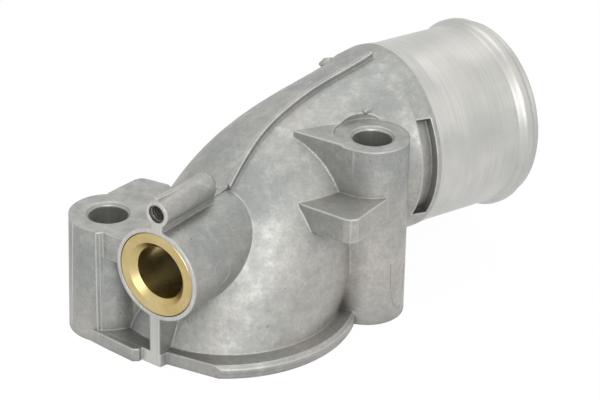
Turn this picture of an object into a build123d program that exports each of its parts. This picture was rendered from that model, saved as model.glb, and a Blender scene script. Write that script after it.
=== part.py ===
import os
from math import cos, radians, sin

from build123d import *

os.makedirs("parts", exist_ok=True)

# Ring flange round the inlet, on the mounting face at z = 0
ring_r = 31.4
ring_height = 3.2
ring_edge_chamfer = 0.8
ring_lip_depth = 0.3
ring_lip_height = 1.5
ring_flat_azimuth = 211.0
ring_flat_distance = 28.3

# Axis of the hose spigot, which runs along X
spigot_y = 3.6
spigot_z = 30.9

# Hose spigot, and the collar and bead that stand on it
spigot_r = 22.2
spigot_start_x = 51.0
spigot_end_x = 77.6
spigot_edge = 0.8
spigot_wall = 3.3
spigot_bore_r = spigot_r - spigot_wall
collar_start_x = 42.4
collar_full_x = 46.2
collar_end_x = 47.4
collar_start_drop = 0.3
collar_start_r = spigot_r - collar_start_drop
collar_rise = 0.4
collar_r = spigot_r + collar_rise
step_end_x = 49.2
step_rise = 0.2
step_r = spigot_r + step_rise
bead_x = 73.4
bead_half_length = 2.2
bead_crown_half = 0.7
bead_rise = 1.2
bead_r = spigot_r + bead_rise
bead_shoulder_half = 1.2
bead_shoulder_rise = 0.9
bead_shoulder_r = spigot_r + bead_shoulder_rise

# Elbow: station x, y, z, rise of the centreline in degrees and outer radius
elbow_stations = [
    (0.0, 0.0, 0.0, 90.0, 27.6),
    (3.8, -0.8, 8.6, 80.0, 25.0),
    (18.8, 1.3, 24.05, 41.5, 21.8),
    (35.4, 3.4, 30.6, 4.0, 19.7),
    (collar_start_x, spigot_y, spigot_z, 0.0, collar_start_r),
]

# Coolant passage: inlet bore, upright core, slanted core and hose-side core
inlet_r = 20.0
inlet_depth = 3.0
core_low_r = 19.5
core_high_r = 18.8
core_height = 10.0
core_tip_r = 9.0
core_tip_height = 24.0
slant_x = 18.4
slant_y = 1.4
slant_z = 24.3
slant_rise = 41.5
slant_r = 17.4
slant_down = 14.0
slant_up = 7.0
passage_r = 16.6
passage_full_x = 32.0
passage_mid_x = 20.0
passage_mid_r = 14.0
passage_tip_x = 4.0
passage_tip_r = 6.6
spigot_bore_start_x = 49.5

# Recess in the near side of the collar
recess_start_x = 42.6
recess_depth = 1.7
recess_floor_r = spigot_r - recess_depth
recess_low_z = 19.3
recess_high_z = 43.5

# Bolt bosses
bolt_hole_r = 4.5
bolt_chamfer = 0.7
bolt_wall = 2.3
low_boss_x = -25.8
low_boss_y = 8.0
low_boss_height = 28.4
low_boss_top_r = 8.9
low_boss_base_r = 9.4
high_boss_x = 28.5
high_boss_y = -16.8
high_boss_height = 44.2
high_boss_top_r = 8.45
high_boss_base_r = 9.2
spot_face_r = 8.9

# Sensor port with its bush seat
port_azimuth = 200.4
port_face_distance = 29.65
port_offset = 3.85
port_z = 23.3
port_outer_r = 11.0
port_reach = 27.0
bush_r = 10.0
bush_bore_r = 6.2
bush_length = 12.0
bush_edge = 0.3
bush_mouth_chamfer = 1.4
port_drill_r = 7.4

# Tapped boss above the port, with its neck and top rib
tapped_h = 0.2
tapped_v = 15.0
tapped_r = 3.0
tapped_hole_r = 2.1
tapped_hole_depth = 11.0
tapped_length = 17.0
tapped_tip = 1.8
tapped_tip_r = 1.6
tapped_neck_half = 1.5
tapped_neck_low_v = 8.0
tapped_neck_extra = 1.4
top_rib_half = 0.55
top_rib_front_v = 18.9
top_rib_back_v = 17.4
crown_line_height = 0.35
crown_line_length = 25.0

# Web under the port and its machined foot
web_left_h = -1.9
web_right_h = 0.85
web_depth = 16.0
foot_left_h = -4.2
foot_right_h = 1.1
foot_depth = 8.0
foot_height = 3.2

# Base plate and the block between the low boss and the dome
plate_height = 3.2
block_height = 28.4
shoulder_low_z = 22.0

# Shelf beside the high boss, and the web from the high boss to the elbow
shelf_top_z = 32.7
shelf_low_z = 26.8
gusset_top_z = 44.6
gusset_low_z = 14.0

# Parting ridge over the crown of the elbow
ridge_half = 0.6
ridge_height = 1.2
ridge_points = [
    (-3.0, -6.3),
    (3.0, -3.6),
    (9.0, -1.1),
    (14.5, 0.5),
    (19.5, 1.6),
    (25.0, 2.6),
    (31.0, 3.2),
    (37.0, 3.5),
    (46.2, spigot_y),
]

# Working lengths
over = 1.0
far = 60.0


# Helpers
def prism(points, low, high):
    face = make_face(Polyline(*points, close=True))
    return Pos(0, 0, low) * extrude(face, high - low, dir=(0, 0, 1))


def upright(x, y, low, high, low_r, high_r):
    if abs(low_r - high_r) < 1e-6:
        shape = Cylinder(low_r, high - low, align=(Align.CENTER, Align.CENTER, Align.MIN))
    else:
        shape = Cone(low_r, high_r, high - low, align=(Align.CENTER, Align.CENTER, Align.MIN))
    return Pos(x, y, low) * shape


def turned(profile):
    face = make_face(Polyline(*profile, close=True))
    return Pos(0, spigot_y, spigot_z) * revolve(Plane.XZ * face, Axis.X)


def elbow_body(extra):
    circles = []
    for x, y, z, rise, radius in elbow_stations:
        along = (cos(radians(rise)), 0, sin(radians(rise)))
        plane = Plane(origin=(x, y, z), x_dir=(0, 1, 0), z_dir=along)
        circles.append(plane * Circle(radius + extra))
    return loft(circles)


# Port frame: x across to the right, y up, z out of the port
port_out = (cos(radians(port_azimuth)), sin(radians(port_azimuth)))
port_right = (-port_out[1], port_out[0])


def port_xy(h, inward):
    reach = port_face_distance - inward
    side = h + port_offset
    return (port_out[0] * reach + port_right[0] * side, port_out[1] * reach + port_right[1] * side)


port_plane = Plane(
    origin=(*port_xy(0, 0), port_z),
    x_dir=(*port_right, 0),
    z_dir=(*port_out, 0),
)


def port_cylinder(h, v, radius, depth, start=0.0):
    shape = Cylinder(radius, depth, align=(Align.CENTER, Align.CENTER, Align.MAX))
    return port_plane * Pos(h, v, -start) * shape


def port_box(h_low, h_high, v_low, v_high, depth, start=0.0):
    shape = Box(h_high - h_low, v_high - v_low, depth, align=(Align.MIN, Align.MIN, Align.MAX))
    return port_plane * Pos(h_low, v_low, -start) * shape


# Ring flange with its turned lip and flat
ring = upright(0, 0, 0, ring_height, ring_r, ring_r)
ring = chamfer(ring.edges().filter_by(GeomType.CIRCLE).sort_by(Axis.Z)[-1:], ring_edge_chamfer)
lip = upright(0, 0, -over, ring_lip_height, ring_r + over, ring_r + over)
lip -= upright(0, 0, -over, ring_lip_height, ring_r - ring_lip_depth, ring_r - ring_lip_depth)
ring -= lip
flat_cut = Box(far, far, far, align=(Align.MIN, Align.CENTER, Align.CENTER))
ring -= Rot(0, 0, ring_flat_azimuth) * Pos(ring_flat_distance, 0, 0) * flat_cut

# Elbow body
elbow = elbow_body(0)

# Low boss and the block that joins it to the dome
low_boss = upright(low_boss_x, low_boss_y, 0, low_boss_height, low_boss_base_r, low_boss_top_r)
block_points = [
    (-33.0, 1.3),
    (-26.4, -0.65),
    (-21.9, -2.6),
    (-8.0, -4.0),
    (-7.4, 12.7),
    (-9.7, 16.9),
    (-10.6, 18.2),
    (-11.3, 18.7),
    (-12.6, 18.8),
    (-17.4, 17.4),
    (-21.2, 16.2),
    (low_boss_x, low_boss_y),
]
block = prism(block_points, 0, block_height)
shoulder_points = [
    (-33.2, 4.1),
    (-31.7, 2.0),
    (-29.85, -3.0),
    port_xy(-port_outer_r + 1.5, 0.8),
    port_xy(0, 8.0),
    (-8.0, -4.0),
    (low_boss_x, low_boss_y),
]
shoulder = prism(shoulder_points, shoulder_low_z, block_height)

# High boss, shelf and gusset
high_boss = upright(
    high_boss_x, high_boss_y, 0, high_boss_height, high_boss_base_r, high_boss_top_r
)
shelf_points = [
    (8.7, -12.0),
    (8.7, -17.9),
    (12.9, -28.4),
    (13.9, -29.7),
    (15.6, -30.1),
    (27.1, -25.4),
    (high_boss_x, high_boss_y),
    (20.0, -12.0),
]
shelf = prism(shelf_points, shelf_low_z, shelf_top_z)
gusset_points = [
    (14.2, -6.2),
    (20.7, -20.4),
    (high_boss_x, high_boss_y),
    (29.7, -8.4),
]
gusset = prism(gusset_points, gusset_low_z, gusset_top_z)

# Base plate
plate_points = [
    (-35.2, 8.0),
    (-32.4, -2.15),
    (-30.1, -9.6),
    port_xy(foot_left_h, -0.9),
    port_xy(foot_left_h, 0),
    port_xy(foot_right_h, 0),
    (-23.5, -14.6),
    (-10.0, -10.0),
    (-10.0, 8.0),
]
plate = prism(plate_points, 0, plate_height)

# Sensor port, web, tapped boss and top rib
port = port_cylinder(0, 0, port_outer_r, port_reach)
web = port_box(web_left_h, web_right_h, -port_z, 0, web_depth)
foot = port_box(foot_left_h, foot_right_h, -port_z, foot_height - port_z, foot_depth)
tapped = port_cylinder(tapped_h, tapped_v, tapped_r, tapped_length)
tapped_end = Cone(tapped_tip_r, tapped_r, tapped_tip, align=(Align.CENTER, Align.CENTER, Align.MAX))
tapped_end = port_plane * Pos(tapped_h, tapped_v, -tapped_length) * tapped_end
neck = port_box(
    tapped_h - tapped_neck_half,
    tapped_h + tapped_neck_half,
    tapped_neck_low_v,
    tapped_v,
    tapped_length + tapped_neck_extra,
)
rib_profile = Polyline(
    (0, tapped_v, 0),
    (0, top_rib_front_v, 0),
    (0, top_rib_back_v, -tapped_length),
    (0, tapped_v, -tapped_length),
    close=True,
)
top_rib = extrude(make_face(rib_profile), top_rib_half, dir=(1, 0, 0), both=True)
top_rib = port_plane * top_rib
crown_line = port_box(
    -top_rib_half,
    top_rib_half,
    tapped_neck_low_v,
    port_outer_r + crown_line_height,
    crown_line_length,
)

# Collar and spigot
collar = turned(
    [
        (collar_start_x, 0),
        (collar_start_x, collar_start_r),
        (collar_full_x, collar_r),
        (collar_end_x, collar_r),
        (step_end_x, step_r),
        (spigot_start_x, spigot_r),
        (spigot_end_x - spigot_edge, spigot_r),
        (spigot_end_x, spigot_r - spigot_edge),
        (spigot_end_x, 0),
    ]
)
bead = turned(
    [
        (bead_x - bead_half_length, spigot_r - over),
        (bead_x - bead_half_length, spigot_r),
        (bead_x - bead_shoulder_half, bead_shoulder_r),
        (bead_x - bead_crown_half, bead_r),
        (bead_x + bead_crown_half, bead_r),
        (bead_x + bead_shoulder_half, bead_shoulder_r),
        (bead_x + bead_half_length, spigot_r),
        (bead_x + bead_half_length, spigot_r - over),
    ]
)

# Parting ridge: a thin upright band of a slightly larger elbow
ridge_left = Spline(*[(x, y + ridge_half) for x, y in ridge_points])
ridge_right = Spline(*[(x, y - ridge_half) for x, y in ridge_points])
ridge_ends = Line(ridge_left @ 0, ridge_right @ 0) + Line(ridge_left @ 1, ridge_right @ 1)
ridge_band = make_face(ridge_left + ridge_right + ridge_ends)
ridge = Pos(0, 0, spigot_z) * extrude(ridge_band, far, dir=(0, 0, 1)) & elbow_body(ridge_height)

# Housing outside
housing = ring + elbow + low_boss + block + shoulder + high_boss + shelf + gusset + plate
housing = housing + port + web + foot + tapped + tapped_end + neck + top_rib + crown_line
housing = housing + collar + bead + ridge

# Recess in the near side of the collar
recess = Box(
    collar_full_x - recess_start_x,
    far,
    recess_high_z - recess_low_z,
    align=(Align.MIN, Align.MAX, Align.MIN),
)
recess = Pos(recess_start_x, spigot_y, recess_low_z) * recess
recess -= Pos(0, spigot_y, spigot_z) * Rot(0, 90, 0) * Cylinder(recess_floor_r, 3 * far)
housing -= recess

# Spot face on the high boss
housing -= upright(high_boss_x, high_boss_y, high_boss_height, far, spot_face_r, spot_face_r)

# Coolant passage, kept clear of the bolt holes
slant_plane = Plane(
    origin=(slant_x, slant_y, slant_z),
    x_dir=(0, 1, 0),
    z_dir=(cos(radians(slant_rise)), 0, sin(radians(slant_rise))),
)
slant = Cylinder(slant_r, slant_down + slant_up, align=(Align.CENTER, Align.CENTER, Align.MIN))
slant = slant_plane * Pos(0, 0, -slant_down) * slant
bore = turned(
    [
        (passage_tip_x, 0),
        (passage_tip_x, passage_tip_r),
        (passage_mid_x, passage_mid_r),
        (passage_full_x, passage_r),
        (spigot_bore_start_x, passage_r),
        (spigot_bore_start_x + spigot_edge, spigot_bore_r),
        (spigot_end_x - spigot_edge, spigot_bore_r),
        (spigot_end_x + over, spigot_bore_r + spigot_edge + over),
        (spigot_end_x + over, 0),
    ]
)
inlet = upright(0, 0, -over, inlet_depth, inlet_r, inlet_r)
inlet += upright(0, 0, inlet_depth, core_height, core_low_r, core_high_r)
inlet += upright(0, 0, core_height, core_tip_height, core_high_r, core_tip_r)
passage = slant + bore + inlet
for x, y in ((low_boss_x, low_boss_y), (high_boss_x, high_boss_y)):
    guard_r = bolt_hole_r + bolt_wall
    passage -= upright(x, y, -far, far, guard_r, guard_r)
housing -= passage

# Bolt holes with chamfers
for x, y, top in (
    (low_boss_x, low_boss_y, low_boss_height),
    (high_boss_x, high_boss_y, high_boss_height),
):
    housing -= upright(x, y, -over, top + over, bolt_hole_r, bolt_hole_r)
    housing -= upright(
        x, y, top - bolt_chamfer, top + over, bolt_hole_r, bolt_hole_r + bolt_chamfer + over
    )
    housing -= upright(
        x, y, -over, bolt_chamfer, bolt_hole_r + bolt_chamfer + over, bolt_hole_r
    )

# Port bore, bush seat and tapped hole
housing -= port_cylinder(0, 0, bush_r, bush_length + over, -over)
housing -= port_cylinder(0, 0, port_drill_r, port_reach - 1.0)
housing -= port_cylinder(tapped_h, tapped_v, tapped_hole_r, tapped_hole_depth + over, -over)

# Brass bush
bush_profile = Polyline(
    (bush_bore_r, -bush_length),
    (bush_r, -bush_length),
    (bush_r, -bush_edge),
    (bush_r - bush_edge, 0),
    (bush_bore_r + bush_mouth_chamfer, 0),
    (bush_bore_r, -bush_mouth_chamfer),
    close=True,
)
bush = port_plane * revolve(Plane.XZ * make_face(bush_profile), Axis.Z)

export_step(housing, "parts/housing.step")
export_step(bush, "parts/brass_bush.step")
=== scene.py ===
import math

import bpy
from mathutils import Matrix, Vector


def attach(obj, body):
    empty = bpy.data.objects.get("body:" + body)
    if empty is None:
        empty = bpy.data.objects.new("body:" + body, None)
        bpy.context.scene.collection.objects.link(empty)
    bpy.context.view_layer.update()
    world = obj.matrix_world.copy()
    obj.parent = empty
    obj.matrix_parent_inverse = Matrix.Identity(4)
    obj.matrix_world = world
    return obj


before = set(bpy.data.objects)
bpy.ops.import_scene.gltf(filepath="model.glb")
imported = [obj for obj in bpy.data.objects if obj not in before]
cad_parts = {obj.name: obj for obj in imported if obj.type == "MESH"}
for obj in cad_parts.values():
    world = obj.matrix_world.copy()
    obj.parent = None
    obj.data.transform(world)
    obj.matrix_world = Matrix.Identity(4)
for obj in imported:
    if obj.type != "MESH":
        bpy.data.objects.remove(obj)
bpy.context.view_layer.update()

bpy.context.scene.view_settings.view_transform = "Standard"

# Camera: eye, target and clips in metres, lens and sensor in millimetres, roll in degrees
EYE = Vector((-0.21529, -0.33663, 0.24093))
TARGET = Vector((0.0140, -0.0098, 0.0287))
LENS = 119.3
SENSOR_WIDTH = 36.0
NEAR_CLIP = 0.01
FAR_CLIP = 20.0
ROLL = 1.79

# Port frame, as in the part's source, in metres
PORT_AZIMUTH = math.radians(200.4)
PORT_FACE = 0.02965
PORT_OFFSET = 0.00385
PORT_Z = 0.0233
OUT = Vector((math.cos(PORT_AZIMUTH), math.sin(PORT_AZIMUTH), 0))
RIGHT = Vector((-OUT.y, OUT.x, 0))

# Places of the finishes, in metres; UPWARD is the least Z of a boss top's normal
COLLAR_END_X = 0.0474
LOW_TOP_Z = 0.0284
HIGH_TOP_Z = 0.0442
BOLT_HOLES = ((-0.0258, 0.0080), (0.0285, -0.0168))
HOLE_WALL_R = 0.0047
TOP_SLACK = 0.0002
FACE_SLACK = 0.0001
UPWARD = 0.97
EDGE_ROUNDING = 0.0006
CORNER_REACH = 0.0055

# Outsides of the port and the high boss and the marks on them, in metres and degrees
PORT_OUTER_R = 0.011
BOSS_BASE_R = 0.0092
BOSS_TOP_R = 0.00845
RELIEF_SINK = 0.00008
CURVE_PARTS = 8
PIN_MARK_POINTS = 36
PIN_MARK_INWARD = 0.0091
PIN_MARK_HALF_LENGTH = 0.0029
PIN_MARK_ANGLE = 1.0
PIN_MARK_HALF_ANGLE = 15.0

# Tapped hole over the port, in the port's frame, in metres
TAP_H = 0.0002
TAP_V = 0.015
TAP_START = 0.0006
TAP_PITCH = 0.0008
TAP_CREST_R = 0.00178
TAP_ROOT_R = 0.00212
TAP_HALF_WIDTH = 0.00030

# Studio: the floor's half width and the lamps' aim in metres, the rest strengths and shares
FLOOR_HALF = 3.0
FLOOR_GLOW = 1.05
FLOOR_GLOW_SHARE = 0.90
FILL_LIGHT = 0.32
SEEN_LIGHT = 1.0
LAMP_AIM = Vector((0.015, -0.005, 0.03))


def port_point(h, v, inward):
    place = OUT * (PORT_FACE - inward) + RIGHT * (h + PORT_OFFSET)
    return Vector((place.x, place.y, PORT_Z + v))


def set_camera():
    data = bpy.data.cameras.new("camera")
    data.lens = LENS
    data.sensor_width = SENSOR_WIDTH
    data.clip_start = NEAR_CLIP
    data.clip_end = FAR_CLIP
    cam = bpy.data.objects.new("camera", data)
    bpy.context.scene.collection.objects.link(cam)
    back = (EYE - TARGET).normalized()
    right = Vector((0, 0, 1)).cross(back).normalized()
    up = back.cross(right)
    turn = Matrix((right, up, back)).transposed()
    turn = turn @ Matrix.Rotation(math.radians(ROLL), 3, "Z")
    cam.matrix_world = Matrix.Translation(EYE) @ turn.to_4x4()
    bpy.context.scene.camera = cam


# Node helpers
def new_material(name):
    mat = bpy.data.materials.new(name)
    mat.use_nodes = True
    tree = mat.node_tree
    tree.nodes.clear()
    out = tree.nodes.new("ShaderNodeOutputMaterial")
    bsdf = tree.nodes.new("ShaderNodeBsdfPrincipled")
    tree.links.new(bsdf.outputs["BSDF"], out.inputs["Surface"])
    return mat, tree, bsdf


def plug(tree, socket, value):
    if isinstance(value, bpy.types.NodeSocket):
        tree.links.new(value, socket)
    else:
        socket.default_value = value


def calc(tree, operation, a, b=0.0):
    made = tree.nodes.new("ShaderNodeMath")
    made.operation = operation
    plug(tree, made.inputs[0], a)
    plug(tree, made.inputs[1], b)
    return made.outputs[0]


def noise(tree, vector, scale, detail, rough):
    made = tree.nodes.new("ShaderNodeTexNoise")
    made.inputs["Scale"].default_value = scale
    made.inputs["Detail"].default_value = detail
    made.inputs["Roughness"].default_value = rough
    tree.links.new(vector, made.inputs["Vector"])
    return made.outputs["Fac"]


def stretched(tree, vector, scale):
    made = tree.nodes.new("ShaderNodeMapping")
    made.inputs["Scale"].default_value = scale
    tree.links.new(vector, made.inputs["Vector"])
    return made.outputs["Vector"]


def ramp(tree, source, stops):
    made = tree.nodes.new("ShaderNodeValToRGB")
    ends = made.color_ramp.elements
    while len(ends) < len(stops):
        ends.new(0.5)
    for end, (place, colour) in zip(ends, stops):
        end.position = place
        end.color = (*colour, 1.0)
    tree.links.new(source, made.inputs["Fac"])
    return made.outputs["Color"]


def spread(tree, source, low, high, to_low=0.0, to_high=1.0):
    made = tree.nodes.new("ShaderNodeMapRange")
    made.inputs["From Min"].default_value = low
    made.inputs["From Max"].default_value = high
    made.inputs["To Min"].default_value = to_low
    made.inputs["To Max"].default_value = to_high
    tree.links.new(source, made.inputs["Value"])
    return made.outputs["Result"]


def blend(tree, share, first, second):
    made = tree.nodes.new("ShaderNodeMix")
    made.data_type = "RGBA"
    plug(tree, made.inputs["Factor"], share)
    plug(tree, made.inputs[6], first)
    plug(tree, made.inputs[7], second)
    return made.outputs[2]


def between(tree, share, first, second):
    kept = calc(tree, "MULTIPLY", calc(tree, "SUBTRACT", 1.0, share), first)
    return calc(tree, "ADD", kept, calc(tree, "MULTIPLY", share, second))


def bump(tree, height, strength, distance, under=None):
    made = tree.nodes.new("ShaderNodeBump")
    made.inputs["Strength"].default_value = strength
    made.inputs["Distance"].default_value = distance
    tree.links.new(height, made.inputs["Height"])
    if under is not None:
        tree.links.new(under, made.inputs["Normal"])
    return made.outputs["Normal"]


def near(tree, value, place, half):
    away = calc(tree, "ABSOLUTE", calc(tree, "SUBTRACT", value, place))
    return calc(tree, "LESS_THAN", away, half)


# Housing: cast skin, with turned and milled places by their position on the part
def cast_aluminium():
    mat, tree, bsdf = new_material("cast_aluminium")
    coord = tree.nodes.new("ShaderNodeTexCoord")
    spot = coord.outputs["Object"]
    parts = tree.nodes.new("ShaderNodeSeparateXYZ")
    tree.links.new(spot, parts.inputs[0])
    x, y, z = parts.outputs
    facing = tree.nodes.new("ShaderNodeSeparateXYZ")
    tree.links.new(coord.outputs["Normal"], facing.inputs[0])

    # Milled places: boss tops, port face, mounting face and the walls of the bolt holes
    flat_up = calc(tree, "GREATER_THAN", facing.outputs[2], UPWARD)
    low_top = near(tree, z, LOW_TOP_Z, TOP_SLACK)
    high_top = near(tree, z, HIGH_TOP_Z, TOP_SLACK)
    boss_tops = calc(tree, "MULTIPLY", flat_up, calc(tree, "MAXIMUM", low_top, high_top))
    reach = calc(tree, "ADD", calc(tree, "MULTIPLY", x, OUT.x), calc(tree, "MULTIPLY", y, OUT.y))
    milled = calc(tree, "MAXIMUM", boss_tops, near(tree, reach, PORT_FACE, FACE_SLACK))
    milled = calc(tree, "MAXIMUM", milled, calc(tree, "LESS_THAN", z, FACE_SLACK))
    for hole_x, hole_y in BOLT_HOLES:
        dx = calc(tree, "POWER", calc(tree, "SUBTRACT", x, hole_x), 2.0)
        dy = calc(tree, "POWER", calc(tree, "SUBTRACT", y, hole_y), 2.0)
        away = calc(tree, "SQRT", calc(tree, "ADD", dx, dy))
        milled = calc(tree, "MAXIMUM", milled, calc(tree, "LESS_THAN", away, HOLE_WALL_R))
    turned = spread(tree, x, COLLAR_END_X - FACE_SLACK, COLLAR_END_X + FACE_SLACK)
    machined = calc(tree, "MAXIMUM", milled, turned)

    # Cast skin: warm and cool patches, grey stains, pale spots, grain and pits
    wide = noise(tree, spot, 34.0, 4.0, 0.5)
    patch = noise(tree, spot, 260.0, 8.0, 0.74)
    grain = noise(tree, spot, 1500.0, 3.0, 0.6)
    skin = ramp(
        tree,
        wide,
        [(0.36, (0.355, 0.37, 0.355)), (0.50, (0.42, 0.415, 0.39)), (0.64, (0.50, 0.475, 0.44))],
    )
    stain = spread(tree, patch, 0.51, 0.68, 0.0, 0.38)
    skin = blend(tree, stain, skin, (0.25, 0.255, 0.25, 1))
    pale = spread(tree, patch, 0.49, 0.35, 0.0, 0.42)
    skin = blend(tree, pale, skin, (0.62, 0.59, 0.55, 1))
    skin = blend(tree, spread(tree, grain, 0.35, 0.65, 0.0, 0.34), skin, (0.27, 0.27, 0.26, 1))
    pits = spread(tree, noise(tree, spot, 620.0, 2.0, 0.5), 0.73, 0.77, 0.0, 0.7)
    skin = blend(tree, pits, skin, (0.10, 0.10, 0.10, 1))

    # Painted shade in the inner corners: the skin darkens where the surface closes in around it
    corners = tree.nodes.new("ShaderNodeAmbientOcclusion")
    corners.samples = 8
    corners.inputs["Distance"].default_value = CORNER_REACH
    corner_shade = spread(tree, corners.outputs["AO"], 0.66, 0.22, 0.0, 0.66)
    skin = blend(tree, corner_shade, skin, (0.12, 0.12, 0.115, 1))

    # Outer edges painted bright, partly as wear and partly as a painted highlight: where the
    # rounded normal leaves the flat one, but not in corners
    edges = tree.nodes.new("ShaderNodeBevel")
    edges.samples = 6
    edges.inputs["Radius"].default_value = EDGE_ROUNDING
    flat = tree.nodes.new("ShaderNodeNewGeometry")
    turn = tree.nodes.new("ShaderNodeVectorMath")
    turn.operation = "DOT_PRODUCT"
    tree.links.new(edges.outputs["Normal"], turn.inputs[0])
    tree.links.new(flat.outputs["Normal"], turn.inputs[1])
    outer = spread(tree, corners.outputs["AO"], 0.62, 0.85)
    rounding = spread(tree, turn.outputs["Value"], 0.995, 0.93, 0.0, 0.75)
    edge_highlight_and_wear = calc(tree, "MULTIPLY", rounding, outer)
    skin = blend(tree, edge_highlight_and_wear, skin, (0.74, 0.73, 0.70, 1))

    # Turned and milled metal: fine lines round the spigot's axis, and duller boss tops
    lines = noise(tree, stretched(tree, spot, (9000.0, 60.0, 60.0)), 1.0, 2.0, 0.5)
    cloud = noise(tree, spot, 70.0, 3.0, 0.5)
    bright = ramp(tree, cloud, [(0.35, (0.53, 0.53, 0.50)), (0.65, (0.68, 0.67, 0.635))])
    bright = blend(tree, spread(tree, lines, 0.3, 0.7, 0.0, 0.46), bright, (0.34, 0.34, 0.33, 1))
    smudge = spread(tree, patch, 0.40, 0.62)
    worn = blend(tree, smudge, (0.46, 0.455, 0.43, 1), (0.33, 0.33, 0.32, 1))
    bright = blend(tree, boss_tops, bright, worn)
    tree.links.new(blend(tree, machined, skin, bright), bsdf.inputs["Base Color"])

    skin_rough = spread(tree, patch, 0.3, 0.7, 0.44, 0.56)
    metal_rough = spread(tree, cloud, 0.3, 0.7, 0.34, 0.42)
    tree.links.new(between(tree, machined, skin_rough, metal_rough), bsdf.inputs["Roughness"])
    tree.links.new(between(tree, machined, 0.84, 0.80), bsdf.inputs["Metallic"])

    rest = calc(tree, "SUBTRACT", 1.0, machined)
    dents = calc(tree, "MULTIPLY", noise(tree, spot, 420.0, 4.0, 0.6), rest)
    pores = calc(tree, "MULTIPLY", grain, rest)
    grooves = calc(tree, "MULTIPLY", lines, machined)
    normal = bump(tree, dents, 0.75, 0.00016, edges.outputs["Normal"])
    normal = bump(tree, pores, 0.35, 0.00004, normal)
    normal = bump(tree, grooves, 0.22, 0.00002, normal)
    tree.links.new(normal, bsdf.inputs["Normal"])
    return mat


def brass():
    mat, tree, bsdf = new_material("brass")
    coord = tree.nodes.new("ShaderNodeTexCoord")
    spot = coord.outputs["Object"]
    cloud = noise(tree, spot, 160.0, 4.0, 0.6)
    tone = ramp(tree, cloud, [(0.3, (0.51, 0.39, 0.16)), (0.7, (0.62, 0.50, 0.25))])
    specks = noise(tree, spot, 1400.0, 3.0, 0.6)
    tone = blend(tree, spread(tree, specks, 0.55, 0.75, 0.0, 0.4), tone, (0.40, 0.29, 0.12, 1))
    tree.links.new(tone, bsdf.inputs["Base Color"])
    tree.links.new(spread(tree, cloud, 0.3, 0.7, 0.26, 0.38), bsdf.inputs["Roughness"])
    bsdf.inputs["Metallic"].default_value = 1.0
    tree.links.new(bump(tree, specks, 0.15, 0.00003), bsdf.inputs["Normal"])
    return mat


# Pieces
def add_piece(name, verts, faces, material):
    mesh = bpy.data.meshes.new(name)
    mesh.from_pydata([tuple(v) for v in verts], [], faces)
    mesh.validate()
    mesh.update()
    mesh.materials.append(material)
    for face in mesh.polygons:
        face.use_smooth = True
    obj = bpy.data.objects.new(name, mesh)
    bpy.context.scene.collection.objects.link(obj)
    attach(obj, "root")


def add_thread(material):
    turns, steps, run_out = 12, 40, 12
    section = (-TAP_HALF_WIDTH, 0.0, TAP_HALF_WIDTH)
    verts, faces = [], []
    count = turns * steps
    for i in range(count + 1):
        angle = 2 * math.pi * i / steps
        inward = TAP_START + TAP_PITCH * i / steps
        taper = min(1.0, i / run_out, (count - i) / run_out)
        top = TAP_ROOT_R - (TAP_ROOT_R - TAP_CREST_R) * taper
        for radius, shift in zip((TAP_ROOT_R, top, TAP_ROOT_R), section):
            h = TAP_H + radius * math.cos(angle)
            v = TAP_V + radius * math.sin(angle)
            verts.append(port_point(h, v, inward + shift))
    for i in range(count):
        a, b = 3 * i, 3 * i + 3
        faces += [(a, a + 1, b + 1, b), (a + 1, a + 2, b + 2, b + 1), (a + 2, a, b, b + 2)]
    faces += [(0, 2, 1), (3 * count, 3 * count + 1, 3 * count + 2)]
    add_piece("thread", verts, faces, material)


# A stretched ball with shallow waves; its two tips are short upright lines
def add_lump(name, centre, size, phase, material):
    rings, steps = 14, 28
    verts, faces = [], []
    for i in range(rings + 1):
        down = math.pi * i / rings
        for k in range(steps):
            turn = 2 * math.pi * k / steps
            wave = 1 + 0.12 * math.sin(3 * turn + phase) * math.sin(down)
            wave += 0.08 * math.sin(5 * down + 2 * turn + phase)
            spot = Vector(
                (
                    size[0] * math.sin(down) * math.cos(turn),
                    size[1] * math.sin(down) * math.sin(turn),
                    size[2] * math.cos(down),
                )
            )
            verts.append(Vector(centre) + spot * wave)
    for i in range(rings):
        for k in range(steps):
            a, b = i * steps + k, i * steps + (k + 1) % steps
            faces.append((a, b, b + steps, a + steps))
    add_piece(name, verts, faces, material)


# Points on the outsides, with the way that each faces
def port_skin(inward, angle):
    turn = math.radians(angle)
    place = port_point(PORT_OUTER_R * math.cos(turn), PORT_OUTER_R * math.sin(turn), inward)
    facing = RIGHT * math.cos(turn) + Vector((0, 0, math.sin(turn)))
    return place, facing


def boss_skin(azimuth, z):
    turn = math.radians(azimuth)
    facing = Vector((math.cos(turn), math.sin(turn), 0))
    radius = BOSS_BASE_R + (BOSS_TOP_R - BOSS_BASE_R) * z / HIGH_TOP_Z
    centre = Vector((*BOLT_HOLES[1], z))
    return centre + facing * radius, facing


# A ridge of triangular section along the places, without end faces where it isn't closed
def add_relief(name, places, half, height, closed, material):
    verts, faces = [], []
    count = len(places)
    for i, (place, facing) in enumerate(places):
        before = places[i - 1][0] if closed or i > 0 else place
        after = places[(i + 1) % count][0] if closed or i < count - 1 else place
        side = facing.cross((after - before).normalized())
        foot = place - facing * RELIEF_SINK
        verts += [foot - side * half, place + facing * height, foot + side * half]
    for i in range(count if closed else count - 1):
        a, b = 3 * i, 3 * ((i + 1) % count)
        faces += [(a, a + 1, b + 1, b), (a + 1, a + 2, b + 2, b + 1), (a + 2, a, b, b + 2)]
    add_piece(name, verts, faces, material)


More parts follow.
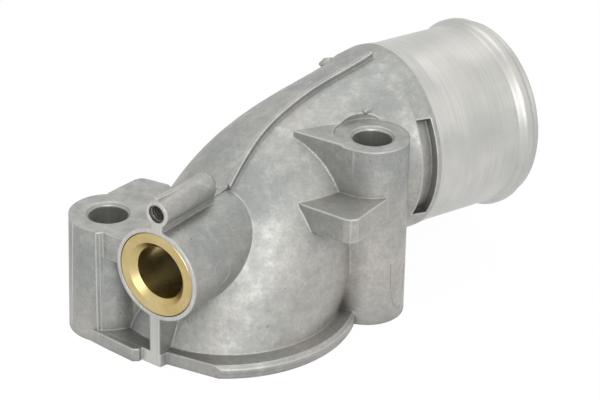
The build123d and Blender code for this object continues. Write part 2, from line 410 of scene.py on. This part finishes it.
# A smooth curve through the points, laid on a skin
def rounded(points, skin):
    places = []
    last = len(points) - 1
    for i in range(last):
        near_points = [points[max(0, min(last, i + k))] for k in (-1, 0, 1, 2)]
        for j in range(CURVE_PARTS):
            t = j / CURVE_PARTS
            weights = (
                -0.5 * t + t * t - 0.5 * t**3,
                1 - 2.5 * t * t + 1.5 * t**3,
                0.5 * t + 2 * t * t - 1.5 * t**3,
                -0.5 * t * t + 0.5 * t**3,
            )
            pair = [sum(w * p[axis] for w, p in zip(weights, near_points)) for axis in (0, 1)]
            places.append(skin(*pair))
    places.append(skin(*points[-1]))
    return places


# Studio: floor and world are white to the camera and in reflections and refractions
def seen_rays(tree):
    path = tree.nodes.new("ShaderNodeLightPath")
    seen = calc(tree, "MAXIMUM", path.outputs["Is Camera Ray"], path.outputs["Is Glossy Ray"])
    return calc(tree, "MAXIMUM", seen, path.outputs["Is Transmission Ray"])


def set_floor():
    mesh = bpy.data.meshes.new("floor")
    signs = ((-1, -1), (1, -1), (1, 1), (-1, 1))
    corners = [(FLOOR_HALF * a, FLOOR_HALF * b, 0) for a, b in signs]
    mesh.from_pydata(corners, [], [(0, 1, 2, 3)])
    floor = bpy.data.objects.new("floor", mesh)
    bpy.context.scene.collection.objects.link(floor)
    mat, tree, bsdf = new_material("floor")
    bsdf.inputs["Base Color"].default_value = (0.9, 0.9, 0.9, 1)
    bsdf.inputs["Roughness"].default_value = 0.9
    shine = tree.nodes.new("ShaderNodeEmission")
    shine.inputs["Strength"].default_value = FLOOR_GLOW
    share = calc(tree, "MULTIPLY", seen_rays(tree), FLOOR_GLOW_SHARE)
    mix = tree.nodes.new("ShaderNodeMixShader")
    tree.links.new(share, mix.inputs["Fac"])
    tree.links.new(bsdf.outputs[0], mix.inputs[1])
    tree.links.new(shine.outputs[0], mix.inputs[2])
    tree.links.new(mix.outputs[0], tree.nodes["Material Output"].inputs["Surface"])
    mesh.materials.append(mat)


def set_world():
    world = bpy.data.worlds.new("world")
    bpy.context.scene.world = world
    world.use_nodes = True
    tree = world.node_tree
    tree.nodes.clear()
    out = tree.nodes.new("ShaderNodeOutputWorld")
    mix = tree.nodes.new("ShaderNodeMixShader")
    tree.links.new(seen_rays(tree), mix.inputs["Fac"])
    for slot, strength in ((1, FILL_LIGHT), (2, SEEN_LIGHT)):
        light = tree.nodes.new("ShaderNodeBackground")
        light.inputs["Color"].default_value = (1, 1, 1, 1)
        light.inputs["Strength"].default_value = strength
        tree.links.new(light.outputs[0], mix.inputs[slot])
    tree.links.new(mix.outputs[0], out.inputs["Surface"])


def lamp(name, place, size, watts):
    data = bpy.data.lights.new(name, "AREA")
    data.shape = "RECTANGLE"
    data.size, data.size_y = size
    data.energy = watts
    obj = bpy.data.objects.new(name, data)
    bpy.context.scene.collection.objects.link(obj)
    obj.location = Vector(place)
    obj.rotation_euler = (LAMP_AIM - Vector(place)).to_track_quat("-Z", "Y").to_euler()


set_camera()
set_floor()
set_world()
lamp("key", place=(-0.25, -0.61, 0.35), size=(0.60, 0.50), watts=2.4)
lamp("top", place=(0.10, 0.20, 0.80), size=(0.80, 0.60), watts=1.5)
lamp("side", place=(0.60, -0.50, 0.35), size=(0.40, 0.60), watts=0.2)

aluminium = cast_aluminium()
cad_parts["housing"].data.materials[0] = aluminium
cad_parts["brass_bush"].data.materials[0] = brass()
add_thread(aluminium)

# Small marks of the casting, in metres: a gate nub and a lump behind the high boss
add_lump(
    "nub",
    centre=(0.0398, 0.0163, 0.0466),
    size=(0.0024, 0.0021, 0.0014),
    phase=0.9,
    material=aluminium,
)
add_lump(
    "lump",
    centre=(0.0336, -0.0083, 0.0458),
    size=(0.0020, 0.0007, 0.0008),
    phase=2.1,
    material=aluminium,
)

# A pin mark on the port
pin_turns = [2 * math.pi * k / PIN_MARK_POINTS for k in range(PIN_MARK_POINTS)]
pin_mark = [
    port_skin(
        PIN_MARK_INWARD + PIN_MARK_HALF_LENGTH * math.cos(t),
        PIN_MARK_ANGLE + PIN_MARK_HALF_ANGLE * math.sin(t),
    )
    for t in pin_turns
]
add_relief(
    "pin_mark", pin_mark, half=0.00022, height=0.00010, closed=True, material=aluminium
)

# Two flash lines on the high boss: degrees round it, and height in metres
low_flash = [
    (-88.0, 0.0150),
    (-86.5, 0.0097),
    (-81.0, 0.0049),
    (-68.0, 0.0024),
    (-56.0, 0.0042),
    (-52.0, 0.0085),
    (-52.0, 0.0128),
]
high_flash = [
    (-80.0, 0.0415),
    (-83.0, 0.0395),
    (-84.0, 0.0375),
    (-80.5, 0.0364),
    (-74.0, 0.0361),
    (-67.5, 0.0363),
]
for name, points, height in (
    ("low_flash", low_flash, 0.00012),
    ("high_flash", high_flash, 0.00010),
):
    line = rounded(points, boss_skin)
    add_relief(name, line, half=0.00024, height=height, closed=False, material=aluminium)
